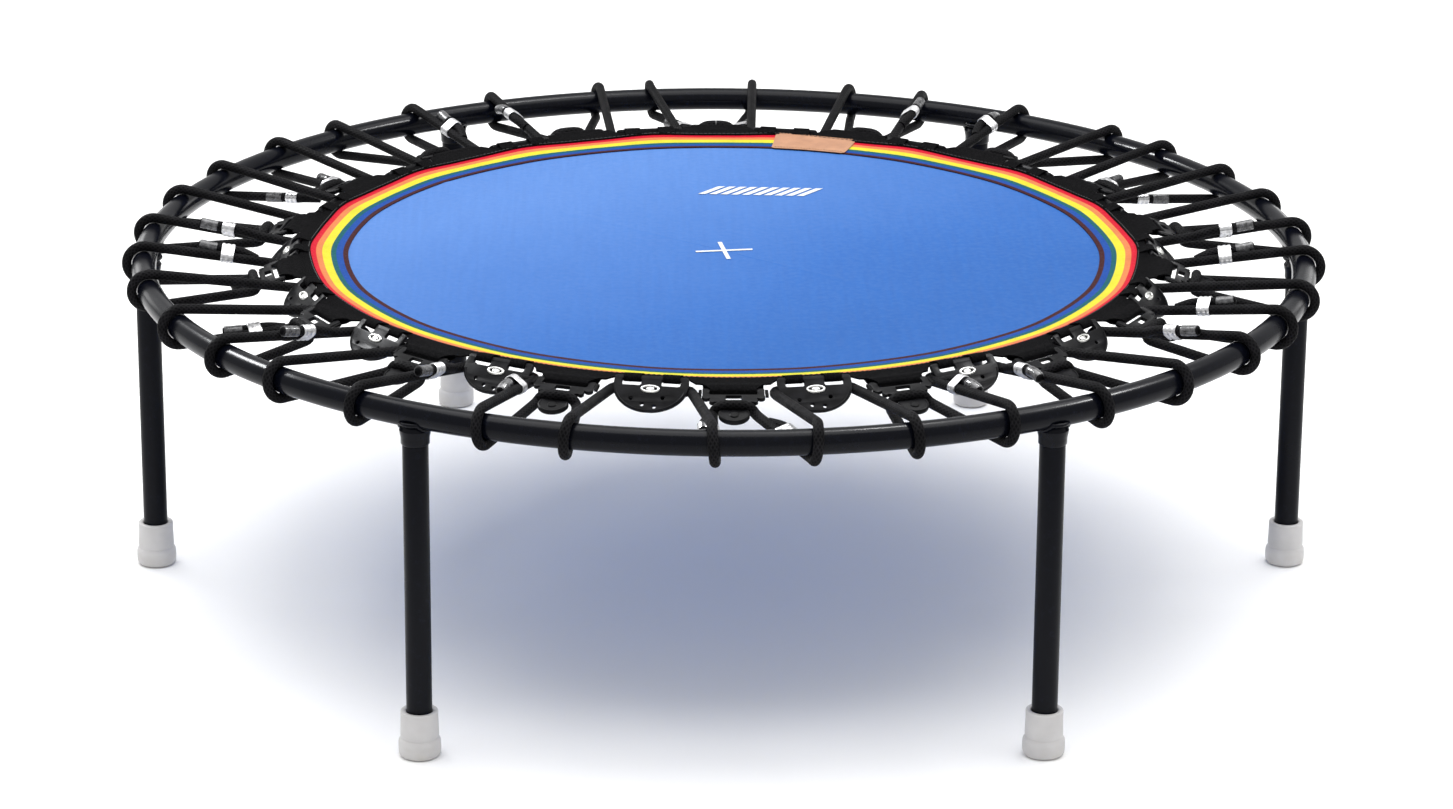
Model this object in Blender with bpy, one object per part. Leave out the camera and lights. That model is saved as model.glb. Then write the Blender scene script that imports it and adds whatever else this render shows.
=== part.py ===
"""Mini trampoline on six screw-in legs, with a round mat hung in its ring by elastic rope.

Units are metres and +Z is up. The origin is on the floor under the middle of the ring. Legs stand at
0, 60, 120... degrees from +X. Half-round plates sit at every 20 degrees and anchor plates between them.
The rope runs from a half-round plate over the ring's tube, round its outside, back under it to an anchor
plate, and on to the next wrap.
"""

import math

import bmesh
import bpy
from mathutils import Matrix, Vector

# Frame
RING_RADIUS = 0.600
RING_HEIGHT = 0.345
TUBE_RADIUS = 0.0125
RING_WALL = 0.002
RING_SEGMENTS = 60
TUBE_SIDES = 12
BORE_SIDES = 6
LEG_COUNT = 6
GAP = 0.0003

# Leg sockets, measured down from the ring's centre plane
SOCKET_RADIUS = 0.0138
SOCKET_DEPTH = 0.0285
WELD_RADIUS = 0.0170
WELD_DEPTH = 0.0205
SOCKET_BORE = 0.0106
SOCKET_BORE_TOP = -0.002

# Legs and feet
LEG_WALL = 0.0015
STUD_RADIUS = 0.0098
STUD_LENGTH = 0.0175
LEG_PLUG = 0.012
FOOT_FLOOR = 0.010
FOOT_BORE = 0.0131
FOOT_HEIGHT = 0.046
ROUND_SIDES = 16
SOCKET_SIDES = 12

# Mat, ribbon, border and tag. The mat lies in the ring's centre plane.
MAT_RADIUS = 0.4320
MAT_HALF_THICKNESS = 0.001
RIBBON_RADII = (0.3900, 0.4325)
RIBBON_THICKNESS = 0.0012
BORDER_RADII = (0.4330, 0.4545)
BORDER_RISE = 0.0072
TAG_ANGLE = math.radians(75.3)
TAG_WIDTH = 0.086
TAG_RADII = (0.3885, 0.4335)
TAG_THICKNESS = 0.0014

# Plates: origin of a plate's own frame, which has x along the ring, y outwards and z up
PLATE_PAIRS = 18
PLATE_THICKNESS = 0.004
HALF_ROUND_RADIUS = 0.4415
HALF_ROUND_TILT = math.radians(39)
HALF_ROUND_RISE = 0.0090
ANCHOR_RADIUS = 0.4600
ANCHOR_TILT = math.radians(16)
ANCHOR_RISE = 0.0044
BAR_WIDTH = 0.005
SLOT_DEPTH = 0.006
LOOP_WIDTH = 0.0165
LOOP_OFFSET = 0.0190
WIDE_LOOP_WIDTH = 0.044
SADDLE_TOP = -0.0016
SADDLE_THICKNESS = 0.0048
SLOT_SIDE_GAP = 0.0008
LOOP_ROOT = -0.0115
LOOP_GAP = 0.0005
WEBBING_THICKNESS = 0.0014
HALF_ROUND_LOOP_FOOT = [(-0.0019, -0.0045), (0.0022, -0.0068), (0.0042, -0.0052)]
"""Where a half-round plate's loop comes down to the border, as (y, z) of the plate's frame."""
NOTCH_RADIUS = 0.4412
NOTCH_WIDTH = 0.075
NOTCH_DEPTH = 0.030
NOTCH_HEIGHT = 0.040
"""The border is cut back to NOTCH_RADIUS under each half-round plate."""

# Rope
ROPE_RADIUS = 0.005
ROPE_PIECES = 6
WRAP_RADIUS = 0.0191
WRAP_POINTS = 6
WRAP_SPREAD = math.radians(204)
WRAP_LEAN = 0.0035
WRAP_DRIFT_DEG = (
    0, 0, 0, 0, -2, 0, 2, 0, 1, 2, -2, 0, 0, 0, -1, -1, -1, -1,
    -1, -2, 0, 0, -1, -1, 2, 0, 3, 2, 1, 0, 0, 0, 1, 0, -1, 0,
)
"""How far each wrap strays from its even place, 10 degrees apart, starting at 5 degrees."""


def clear_scene():
    for obj in list(bpy.data.objects):
        bpy.data.objects.remove(obj, do_unlink=True)


def material(name, colour, roughness, metallic=0.0):
    found = bpy.data.materials.new(name)
    found.use_nodes = True
    shader = found.node_tree.nodes["Principled BSDF"]
    shader.inputs["Base Color"].default_value = (*colour, 1.0)
    shader.inputs["Roughness"].default_value = roughness
    shader.inputs["Metallic"].default_value = metallic
    return found


def add_object(name, mesh, finish, matrix=None):
    """Puts a mesh in the scene under this name, with one material and smooth round faces."""
    if not mesh.materials:
        mesh.materials.append(finish)
        mesh.shade_smooth()
        mesh.set_sharp_from_angle(angle=math.radians(35))
    obj = bpy.data.objects.new(name, mesh)
    bpy.context.scene.collection.objects.link(obj)
    if matrix is not None:
        obj.matrix_world = matrix
    return obj


def add_pivot(name, location):
    """An empty on a joint's axis."""
    pivot = bpy.data.objects.new(name, None)
    pivot.location = location
    pivot.empty_display_size = 0.02
    bpy.context.scene.collection.objects.link(pivot)
    return pivot


def parent_to(child, pivot):
    child.parent = pivot
    child.matrix_parent_inverse = Matrix.Translation(-Vector(pivot.location))


def evaluated_mesh(obj):
    """The finished mesh of a temporary object, which is then removed."""
    graph = bpy.context.evaluated_depsgraph_get()
    mesh = bpy.data.meshes.new_from_object(obj.evaluated_get(graph))
    bpy.data.objects.remove(obj, do_unlink=True)
    return mesh


def temporary(data):
    obj = bpy.data.objects.new("temporary", data)
    bpy.context.scene.collection.objects.link(obj)
    return obj


def combined(mesh, other, operation):
    """A Boolean of two meshes."""
    body = temporary(mesh)
    tool = temporary(other)
    modifier = body.modifiers.new("boolean", "BOOLEAN")
    modifier.operation = operation
    modifier.solver = "EXACT"
    modifier.object = tool
    result = evaluated_mesh(body)
    bpy.data.objects.remove(tool, do_unlink=True)
    return result


def placed(meshes):
    """One mesh of several (mesh, matrix) pairs, left as separate bodies."""
    build = bmesh.new()
    for mesh, matrix in meshes:
        copy = mesh.copy()
        copy.transform(matrix)
        build.from_mesh(copy)
        bpy.data.meshes.remove(copy)
    result = bpy.data.meshes.new("placed")
    build.to_mesh(result)
    build.free()
    return result


def plate_mesh(loops, thickness):
    """A flat plate from closed outlines: the first is its edge and the others are holes."""
    curve = bpy.data.curves.new("outline", "CURVE")
    curve.dimensions = "2D"
    curve.fill_mode = "BOTH"
    curve.extrude = thickness / 2
    for points in loops:
        spline = curve.splines.new("POLY")
        spline.points.add(len(points) - 1)
        for place, (x, y) in zip(spline.points, points):
            place.co = (x, y, 0, 1)
        spline.use_cyclic_u = True
    mesh = evaluated_mesh(temporary(curve))
    build = bmesh.new()
    build.from_mesh(mesh)
    bmesh.ops.remove_doubles(build, verts=build.verts, dist=0.00001)
    bmesh.ops.recalc_face_normals(build, faces=build.faces)
    build.to_mesh(mesh)
    build.free()
    return mesh


def lathe_mesh(profile, sides, closed=False):
    """Turns (radius, height) points round the Z axis. An open profile starts and ends on the axis."""
    build = bmesh.new()
    rings = []
    for radius, height in profile:
        if radius == 0:
            rings.append([build.verts.new((0, 0, height))])
            continue
        turn = 2 * math.pi / sides
        rings.append(
            [
                build.verts.new((radius * math.cos(turn * i), radius * math.sin(turn * i), height))
                for i in range(sides)
            ]
        )
    pairs = list(zip(rings, rings[1:]))
    if closed:
        pairs.append((rings[-1], rings[0]))
    for first, second in pairs:
        for i in range(sides):
            j = (i + 1) % sides
            corners = [first[i % len(first)], first[j % len(first)]]
            corners += [second[j % len(second)], second[i % len(second)]]
            build.faces.new(list(dict.fromkeys(corners)))
    bmesh.ops.recalc_face_normals(build, faces=build.faces)
    mesh = bpy.data.meshes.new("lathe")
    build.to_mesh(mesh)
    build.free()
    return mesh


def torus_mesh(tube_radius, sides):
    profile = []
    for i in range(sides):
        turn = 2 * math.pi * (i + 0.5) / sides
        profile.append((RING_RADIUS + tube_radius * math.cos(turn), tube_radius * math.sin(turn)))
    return lathe_mesh(profile, RING_SEGMENTS, closed=True)


def arc(centre, radii, start, end, count):
    """Points along an ellipse from one angle to another, in degrees, both ends included."""
    points = []
    for i in range(count + 1):
        turn = math.radians(start + (end - start) * i / count)
        points.append((centre[0] + radii[0] * math.cos(turn), centre[1] + radii[1] * math.sin(turn)))
    return points


def rectangle(centre, width, depth):
    x, y = centre
    return [
        (x - width / 2, y - depth / 2),
        (x + width / 2, y - depth / 2),
        (x + width / 2, y + depth / 2),
        (x - width / 2, y + depth / 2),
    ]


def leg_angle(number):
    return 2 * math.pi * number / LEG_COUNT


def leg_foot_point(number):
    angle = leg_angle(number)
    return Vector((RING_RADIUS * math.cos(angle), RING_RADIUS * math.sin(angle), 0))


def ring_frame():
    """The bent tube with six welded sockets, whose bores open into the tube's hollow."""
    shell = torus_mesh(TUBE_RADIUS, TUBE_SIDES)
    socket = lathe_mesh(
        [
            (0, -0.0060),
            (WELD_RADIUS - 0.0075, -0.0060),
            (WELD_RADIUS, -0.0122),
            (WELD_RADIUS - 0.0006, -0.0142),
            (SOCKET_RADIUS, -WELD_DEPTH),
            (SOCKET_RADIUS, -SOCKET_DEPTH),
            (0, -SOCKET_DEPTH),
        ],
        SOCKET_SIDES,
    )
    bore_end = -SOCKET_DEPTH - 0.01
    bore = lathe_mesh(
        [(0, SOCKET_BORE_TOP), (SOCKET_BORE, SOCKET_BORE_TOP), (SOCKET_BORE, bore_end), (0, bore_end)],
        SOCKET_SIDES,
    )
    seats = []
    for number in range(LEG_COUNT):
        place = leg_foot_point(number)
        seats.append(Matrix.Translation(place) @ Matrix.Rotation(leg_angle(number), 4, "Z"))
    shell = combined(shell, placed([(socket, seat) for seat in seats]), "UNION")
    shell = combined(shell, torus_mesh(TUBE_RADIUS - RING_WALL, BORE_SIDES), "DIFFERENCE")
    shell = combined(shell, placed([(bore, seat) for seat in seats]), "DIFFERENCE")
    paint = material("black_paint", (0.012, 0.013, 0.018), 0.28, 0.1)
    return add_object("ring_frame", shell, paint, Matrix.Translation((0, 0, RING_HEIGHT)))


def leg_tube_mesh():
    """A tube open at its foot, closed at the top by a plug with the threaded stud. Z = 0 is the floor."""
    shoulder = RING_HEIGHT - SOCKET_DEPTH - GAP
    end = FOOT_FLOOR + GAP
    inner = TUBE_RADIUS - LEG_WALL
    return lathe_mesh(
        [
            (0, shoulder + STUD_LENGTH),
            (STUD_RADIUS - 0.001, shoulder + STUD_LENGTH),
            (STUD_RADIUS, shoulder + STUD_LENGTH - 0.001),
            (STUD_RADIUS, shoulder),
            (TUBE_RADIUS, shoulder),
            (TUBE_RADIUS, end),
            (inner, end),
            (inner, shoulder - LEG_PLUG),
            (0, shoulder - LEG_PLUG),
        ],
        ROUND_SIDES,
    )


def foot_mesh():
    """A rubber cup: tapered sleeve, step, and a wider base with a rounded edge."""
    outer = [
        (0, 0),
        (0.0180, 0),
        (0.0198, 0.0018),
        (0.0205, 0.0055),
        (0.0204, 0.0135),
        (0.0196, 0.0170),
        (0.0180, 0.0185),
        (0.0184, 0.0215),
        (0.0178, FOOT_HEIGHT - 0.0015),
        (0.0168, FOOT_HEIGHT),
        (FOOT_BORE, FOOT_HEIGHT),
        (FOOT_BORE, FOOT_FLOOR),
        (0, FOOT_FLOOR),
    ]
    return lathe_mesh(outer, ROUND_SIDES)


def legs():
    """Six legs. Each foot slides on the leg's axis as the tube is unscrewed, and the tube turns in it."""
    tube = leg_tube_mesh()
    foot = foot_mesh()
    paint = material("black_leg_paint", (0.012, 0.013, 0.017), 0.30, 0.1)
    rubber = material("white_rubber", (0.80, 0.80, 0.78), 0.55)
    for number in range(LEG_COUNT):
        seat = Matrix.Translation(leg_foot_point(number))
        pivot = add_pivot(f"leg_axis_{number + 1}", seat.translation)
        parent_to(add_object(f"rubber_foot_{number + 1}", foot, rubber, seat), pivot)
        parent_to(add_object(f"leg_tube_{number + 1}", tube, paint, seat), pivot)


def jump_mat():
    half = MAT_HALF_THICKNESS
    mesh = lathe_mesh([(0, half), (MAT_RADIUS, half), (MAT_RADIUS, -half), (0, -half)], RING_SEGMENTS)
    cloth = material("blue_cloth", (0.075, 0.25, 0.70), 0.65)
    return add_object("jump_mat", mesh, cloth, Matrix.Translation((0, 0, RING_HEIGHT)))


def rainbow_ribbon():
    """A flat ring sewn over the mat's edge."""
    low = MAT_HALF_THICKNESS + GAP
    high = low + RIBBON_THICKNESS
    inner, outer = RIBBON_RADII
    mesh = lathe_mesh([(inner, low), (outer, low), (outer, high), (inner, high)], RING_SEGMENTS, closed=True)
    ribbon = material("rainbow_ribbon", (0.85, 0.55, 0.05), 0.7)
    return add_object("rainbow_ribbon", mesh, ribbon, Matrix.Translation((0, 0, RING_HEIGHT)))


def leather_tag():
    """A thin tag that follows the ribbon's curve."""
    low = MAT_HALF_THICKNESS + RIBBON_THICKNESS + 2 * GAP
    high = low + TAG_THICKNESS
    inner, outer = TAG_RADII
    spread = TAG_WIDTH / (inner + outer)
    steps = 6
    build = bmesh.new()
    sections = []
    for i in range(steps + 1):
        angle = TAG_ANGLE - spread + 2 * spread * i / steps
        section = []
        for radius, height in ((inner, low), (outer, low), (outer, high), (inner, high)):
            section.append(build.verts.new((radius * math.cos(angle), radius * math.sin(angle), height)))
        sections.append(section)
    for first, second in zip(sections, sections[1:]):
        for i in range(4):
            j = (i + 1) % 4
            build.faces.new((first[i], first[j], second[j], second[i]))
    build.faces.new(sections[0])
    build.faces.new(sections[-1])
    bmesh.ops.recalc_face_normals(build, faces=build.faces)
    mesh = bpy.data.meshes.new("tag")
    build.to_mesh(mesh)
    build.free()
    hide = material("tan_leather", (0.52, 0.28, 0.14), 0.6)
    return add_object("leather_tag", mesh, hide, Matrix.Translation((0, 0, RING_HEIGHT)))


def half_round_mesh():
    """Kind A: two webbing slots by the mat and, under the plate, a rib that the rope runs behind."""
    slot_y = BAR_WIDTH + SLOT_DEPTH / 2
    edge = [(-0.030, 0), (0.030, 0), (0.0355, 0.004)]
    edge += arc((0, 0.0125), (0.036, 0.0265), 0, 180, 10)
    edge += [(-0.0355, 0.004)]
    slot = LOOP_WIDTH + 2 * SLOT_SIDE_GAP
    holes = [rectangle((side * LOOP_OFFSET, slot_y), slot, SLOT_DEPTH) for side in (-1, 1)]
    plate = plate_mesh([edge, *holes], PLATE_THICKNESS)
    rib_height = 0.010
    rib = plate_mesh([rectangle((0, 0.0242), 0.040, 0.004)], rib_height)
    sunk = Matrix.Translation((0, 0, -PLATE_THICKNESS / 2 - rib_height / 2 + 0.001))
    return combined(plate, placed([(rib, sunk)]), "UNION")


def anchor_mesh():
    """Kind B: one wide webbing slot, toothed shoulders, a window, and a saddle below the plate that holds
    the rope between the shoulders and a round head."""
    right = [(0.0270, 0), (0.0300, 0.003), (0.0300, 0.0120), (0.0265, 0.0135), (0.0285, 0.0165)]
    right += [(0.0235, 0.0170), (0.0245, 0.0205), (0.0150, 0.0250)]
    left = [(-x, y) for x, y in reversed(right)]
    slot = rectangle((0, BAR_WIDTH + SLOT_DEPTH / 2), WIDE_LOOP_WIDTH + 2 * SLOT_SIDE_GAP, SLOT_DEPTH)
    window = rectangle((0, 0.0165), 0.013, 0.006)
    body = plate_mesh([right + left, slot, window], PLATE_THICKNESS)
    head = plate_mesh([arc((0, 0.0420), (0.0150, 0.0140), -28, 208, 12)], PLATE_THICKNESS)
    saddle = plate_mesh([rectangle((0, 0.0303), 0.0150, 0.0190)], SADDLE_THICKNESS)
    saddle.transform(Matrix.Translation((0, 0, SADDLE_TOP - SADDLE_THICKNESS / 2)))
    return combined(combined(body, saddle, "UNION"), head, "UNION")


def half_round_angle(number):
    return 2 * math.pi * number / PLATE_PAIRS


def plate_matrix(angle, radius, rise, tilt):
    """A plate's own frame: x along the ring, clockwise from above, y outwards and tilted down, z up."""
    turn = Matrix.Rotation(angle - math.pi / 2, 4, "Z")
    return (
        Matrix.Translation((0, 0, RING_HEIGHT))
        @ turn
        @ Matrix.Translation((0, radius, rise))
        @ Matrix.Rotation(-tilt, 4, "X")
    )


def half_round_matrix(number):
    return plate_matrix(half_round_angle(number), HALF_ROUND_RADIUS, HALF_ROUND_RISE, HALF_ROUND_TILT)


def anchor_matrix(number):
    angle = half_round_angle(number + 0.5)
    return plate_matrix(angle, ANCHOR_RADIUS, ANCHOR_RISE, ANCHOR_TILT)


def plates():
    plastic = material("black_plate", (0.010, 0.010, 0.012), 0.35)
    half_round = half_round_mesh()
    anchor = anchor_mesh()
    for number in range(PLATE_PAIRS):
        add_object(f"half_round_plate_{number + 1:02d}", half_round, plastic, half_round_matrix(number))
        add_object(f"anchor_plate_{number + 1:02d}", anchor, plastic, anchor_matrix(number))


def webbing_loop_mesh(width, foot, back):
    """A stitched loop round a plate's bar, in the plate's frame. Its foot is below and its back above."""
    clear = PLATE_THICKNESS / 2 + LOOP_GAP
    cloth = WEBBING_THICKNESS
    reach = BAR_WIDTH + LOOP_GAP
    outline = [*foot, (reach + cloth, -clear - cloth), (reach + cloth, clear + cloth), back]
    eye = [(-LOOP_GAP, -clear), (reach, -clear), (reach, clear), (-LOOP_GAP, clear)]
    mesh = plate_mesh([outline, eye], width)
    # The outline is drawn as (y, z) of the plate's frame and extruded along its x.
    mesh.transform(Matrix(((0, 0, 1, 0), (1, 0, 0, 0), (0, 1, 0, 0), (0, 0, 0, 1))))
    return mesh


def border_loops():
    """Two narrow loops for each half-round plate and one wide one for each anchor plate."""
    top = PLATE_THICKNESS / 2 + LOOP_GAP + WEBBING_THICKNESS
    narrow = webbing_loop_mesh(LOOP_WIDTH, HALF_ROUND_LOOP_FOOT, (HALF_ROUND_LOOP_FOOT[0][0], top))
    foot = (LOOP_ROOT, -WEBBING_THICKNESS)
    wide = webbing_loop_mesh(WIDE_LOOP_WIDTH, [foot], (LOOP_ROOT, WEBBING_THICKNESS))
    loops = []
    for number in range(PLATE_PAIRS):
        for side in (-1, 1):
            shift = Matrix.Translation((side * LOOP_OFFSET, 0, 0))
            loops.append((narrow, half_round_matrix(number) @ shift))
        loops.append((wide, anchor_matrix(number)))
    return placed(loops)


def border_notches():
    """The blocks that cut the border back under the half-round plates."""
    block = plate_mesh([rectangle((0, NOTCH_DEPTH / 2), NOTCH_WIDTH, NOTCH_DEPTH)], NOTCH_HEIGHT)
    blocks = []
    for number in range(PLATE_PAIRS):
        turn = Matrix.Rotation(half_round_angle(number) - math.pi / 2, 4, "Z")
        blocks.append((block, turn @ Matrix.Translation((0, NOTCH_RADIUS, RING_HEIGHT))))
    return placed(blocks)


def mat_border():
    """The webbing band round the mat, with its loops."""
    half = MAT_HALF_THICKNESS
    inner, outer = BORDER_RADII
    band = lathe_mesh(
        [
            (inner, half),
            (outer, BORDER_RISE + half),
            (outer, BORDER_RISE - half),
            (inner, -half),
        ],
        RING_SEGMENTS,
        closed=True,
    )
    band.transform(Matrix.Translation((0, 0, RING_HEIGHT)))
    band = combined(band, border_notches(), "DIFFERENCE")
    webbing = material("black_webbing", (0.012, 0.012, 0.013), 0.85)
    return add_object("mat_border", combined(band, border_loops(), "UNION"), webbing)


def ring_point(angle, radius, height, shift=0.0):
    """A point at this angle and radius, moved along the ring by shift and lifted from its centre plane."""
    outwards = Vector((math.cos(angle), math.sin(angle), 0))
    along = Vector((-math.sin(angle), math.cos(angle), 0))
    return outwards * radius + along * shift + Vector((0, 0, RING_HEIGHT + height))


def wrap_angle(number):
    """Angle of a wrap, counted from 0 at 5 degrees."""
    return math.radians(5 + 10 * number + WRAP_DRIFT_DEG[number])


def wrap_points(number):
    """The rope round the tube, from its top to its underside by the outside."""
    angle = wrap_angle(number)
    lean = -WRAP_LEAN if number % 2 else WRAP_LEAN
    points = []
    for i in range(WRAP_POINTS):
        part = 2 * i / (WRAP_POINTS - 1) - 1
        turn = -part * WRAP_SPREAD / 2
        radius = RING_RADIUS + WRAP_RADIUS * math.cos(turn)
        points.append(ring_point(angle, radius, WRAP_RADIUS * math.sin(turn), lean * part))
    return points


def half_round_side(number, side):
    """The rope beside a half-round plate and then under it, on one side."""
    frame = half_round_matrix(number)
    beside = frame @ Vector((side * 0.0435, 0.0165, -0.0030))
    corner = frame @ Vector((side * 0.0365, 0.0162, -0.0085))
    under = frame @ Vector((side * 0.0070, 0.0162, -0.0080))
    return [beside, corner, under]


def anchor_side(number, side):
    """The rope beside an anchor plate's saddle and then over it, on one side."""
    frame = anchor_matrix(number)
    beside = frame @ Vector((side * 0.0205, 0.0303, -0.0055))
    corner = frame @ Vector((side * 0.0160, 0.0303, 0.0012))
    over = frame @ Vector((side * 0.0080, 0.0303, 0.0038))
    return [beside, corner, over]


def rope_points(piece):
    """One length of rope, from the half-round plate at its start to the one at its end."""
    wraps = len(WRAP_DRIFT_DEG) // ROPE_PIECES
    points = []
    for step in range(wraps):
        number = piece * wraps + step
        start_plate = number // 2
        if number % 2 == 0:
            points += reversed(half_round_side(start_plate, -1))
            points += wrap_points(number)
            points += anchor_side(start_plate, 1)
        else:
            points += reversed(anchor_side(start_plate, -1))
            points += reversed(wrap_points(number))
            points += half_round_side((start_plate + 1) % PLATE_PAIRS, 1)
    return points


def ropes():
    cover = material("elastic_rope", (0.020, 0.020, 0.022), 0.75)
    for piece in range(ROPE_PIECES):
        curve = bpy.data.curves.new("rope", "CURVE")
        curve.dimensions = "3D"
        curve.bevel_depth = ROPE_RADIUS
        curve.bevel_resolution = 1
        curve.use_fill_caps = True
        points = rope_points(piece)
        spline = curve.splines.new("POLY")
        spline.points.add(len(points) - 1)
        for place, point in zip(spline.points, points):
            place.co = (*point, 1)
        curve.materials.append(cover)
        obj = bpy.data.objects.new(f"elastic_rope_{piece + 1}", curve)
        bpy.context.scene.collection.objects.link(obj)


def main():
    clear_scene()
    ring_frame()
    legs()
    jump_mat()
    rainbow_ribbon()
    leather_tag()
    mat_border()
    plates()
    ropes()


main()
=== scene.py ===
"""The looks of the mini trampoline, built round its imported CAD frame."""

import math

import bmesh
import bpy
import numpy as np
from mathutils import Matrix, Vector, noise


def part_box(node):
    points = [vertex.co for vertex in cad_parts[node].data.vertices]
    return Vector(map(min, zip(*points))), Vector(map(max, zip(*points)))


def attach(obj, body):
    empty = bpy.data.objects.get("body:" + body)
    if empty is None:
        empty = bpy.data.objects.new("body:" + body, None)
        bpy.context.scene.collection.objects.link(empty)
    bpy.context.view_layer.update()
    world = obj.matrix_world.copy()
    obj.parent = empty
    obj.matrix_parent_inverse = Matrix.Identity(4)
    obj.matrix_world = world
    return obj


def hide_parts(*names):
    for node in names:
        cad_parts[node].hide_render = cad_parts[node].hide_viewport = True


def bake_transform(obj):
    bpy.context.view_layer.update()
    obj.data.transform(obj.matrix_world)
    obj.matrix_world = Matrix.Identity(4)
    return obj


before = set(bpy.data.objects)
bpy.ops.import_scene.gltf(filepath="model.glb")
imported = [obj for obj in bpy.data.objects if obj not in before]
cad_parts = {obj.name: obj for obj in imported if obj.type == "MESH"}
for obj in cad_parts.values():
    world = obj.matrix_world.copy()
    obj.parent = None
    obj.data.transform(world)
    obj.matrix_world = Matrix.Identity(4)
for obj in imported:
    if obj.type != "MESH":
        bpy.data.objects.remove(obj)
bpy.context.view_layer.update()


def middle(node):
    low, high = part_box(node)
    return (low + high) / 2


# Driving sizes, read from the frame
RING_Z = middle("jump_mat").z
RING_R = middle("leg_tube_1").x
TUBE_R = (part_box("leg_tube_1")[1].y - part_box("leg_tube_1")[0].y) / 2
MAT_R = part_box("jump_mat")[1].x
LEG_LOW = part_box("leg_tube_1")[0].z
LEG_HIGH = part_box("leg_tube_1")[1].z
FOOT_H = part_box("rubber_foot_1")[1].z
SOCKET_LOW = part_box("ring_frame")[0].z

LEGS = 6
PAIRS = 18
WRAPS = 2 * PAIRS

# Sizes of the fine shapes
STUD_LENGTH = 0.0175
STUD_R = 0.0098
THREAD_PITCH = 0.002
SOCKET_R = 0.0138
SOCKET_BORE_R = 0.0106
FLAT_R = 0.390
RIM_RISE = 0.0042
BAND_R = 0.4560
NOTCH_R = 0.4392
MAT_STEPS = 216  # rays of the mat's disc, and FOLD_STEPS are the two along which it was once folded
FOLD_STEPS = (84, 192)
FOLD_RISE = 0.0005
CLOTH = 0.0014
THREAD_GAP = 0.0021
THREAD_TURN = math.radians(28)
ROPE_R = 0.0051
ROPE_ROUND_R = TUBE_R + ROPE_R + 0.0003
PLATE_T = 0.004
A_R = 0.4415
A_TILT = math.radians(39)
A_RISE = 0.0090
A_LOOP_X = 0.0190
B_R = 0.4600
B_TILT = math.radians(16)
B_RISE = 0.0044
BAR = 0.0042
LOOP_STEP = 0.0009

WRAP_DRIFT_DEG = (
    0, 0, 0, 0, -2, 0, 2, 0, 1, 2, -2, 0, 0, 0, -1, -1, -1, -1,
    -1, -2, 0, 0, -1, -1, 2, 0, 3, 2, 1, 0, 0, 0, 1, 0, -1, 0,
)


# ---------------------------------------------------------------- mesh helpers


def new_object(name, mesh, material, smooth_angle=40):
    mesh.materials.clear()
    mesh.materials.append(material)
    mesh.shade_smooth()
    mesh.set_sharp_from_angle(angle=math.radians(smooth_angle))
    obj = bpy.data.objects.new(name, mesh)
    bpy.context.scene.collection.objects.link(obj)
    return obj


def mesh_from(points, faces, uvs=None):
    """A mesh from points and faces. uvs, where given, has one pair for each face corner, in order."""
    mesh = bpy.data.meshes.new("piece")
    mesh.from_pydata([tuple(p) for p in points], [], faces)
    if uvs is not None:
        layer = mesh.uv_layers.new(name="UVMap")
        layer.data.foreach_set("uv", np.array(uvs, np.float32).ravel())
    mesh.validate()
    mesh.update()
    return mesh


def polar(radius, angle, height):
    return radius * math.cos(angle), radius * math.sin(angle), height


def flat_uvs(points, faces):
    """Each face corner's place in the mat's plane."""
    return [(points[i][0], points[i][1]) for face in faces for i in face]


def joined(meshes):
    """One mesh of several, each with its matrix."""
    points, faces, uvs = [], [], []
    for mesh, matrix in meshes:
        start = len(points)
        points += [matrix @ v.co for v in mesh.vertices]
        faces += [[start + i for i in p.vertices] for p in mesh.polygons]
        if mesh.uv_layers:
            uvs += [tuple(d.uv) for d in mesh.uv_layers[0].data]
        else:
            uvs += [(0.0, 0.0)] * len(mesh.loops)
    return mesh_from(points, faces, uvs)


def grid_mesh(points, closed_v=False, cap=False, size=(1.0, 1.0), uv_at=None):
    """Quads over closed rows of points. closed_v joins the last row to the first, and cap fills both ends.
    The UVs run 0 to size, or are what uv_at(place in the row, row) gives."""
    rows, count = len(points), len(points[0])
    flat = [p for row in points for p in row]
    uv_at = uv_at or (lambda i, j: (size[0] * i / count, size[1] * j / rows))
    faces, uvs = [], []
    for j in range(rows if closed_v else rows - 1):
        for i in range(count):
            nj, ni = (j + 1) % rows, (i + 1) % count
            faces.append((j * count + i, j * count + ni, nj * count + ni, nj * count + i))
            uvs += [uv_at(i, j), uv_at(i + 1, j), uv_at(i + 1, j + 1), uv_at(i, j + 1)]
    if cap:
        faces.append(tuple(reversed(range(count))))
        faces.append(tuple(range((rows - 1) * count, rows * count)))
        uvs += [(0.0, 0.0)] * (2 * count)
    return mesh_from(flat, faces, uvs)


def tube_mesh(path, radius, sides=16, squash=1.0, closed=False):
    """A tube along a path. radius is a number, or a function of the share of the path. squash flattens
    the section. The UVs run once round and, along the path, in metres."""
    path = [Vector(p) for p in path]
    count = len(path)
    tangents = []
    for i in range(count):
        after = path[(i + 1) % count] if closed else path[min(i + 1, count - 1)]
        before = path[i - 1] if closed or i else path[0]
        tangents.append((after - before).normalized())
    normal = tangents[0].orthogonal().normalized()
    rows, length = [], 0.0
    for i in range(count):
        normal = (normal - tangents[i] * normal.dot(tangents[i])).normalized()
        side = tangents[i].cross(normal)
        size = radius(i / (count - 1)) if callable(radius) else radius
        row = []
        for k in range(sides):
            turn = math.tau * k / sides
            row.append(path[i] + normal * size * math.cos(turn) + side * size * squash * math.sin(turn))
        rows.append(row)
        if i:
            length += (path[i] - path[i - 1]).length
    return grid_mesh(rows, closed_v=closed, cap=not closed, size=(1.0, length * count / max(count - 1, 1)))


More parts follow.
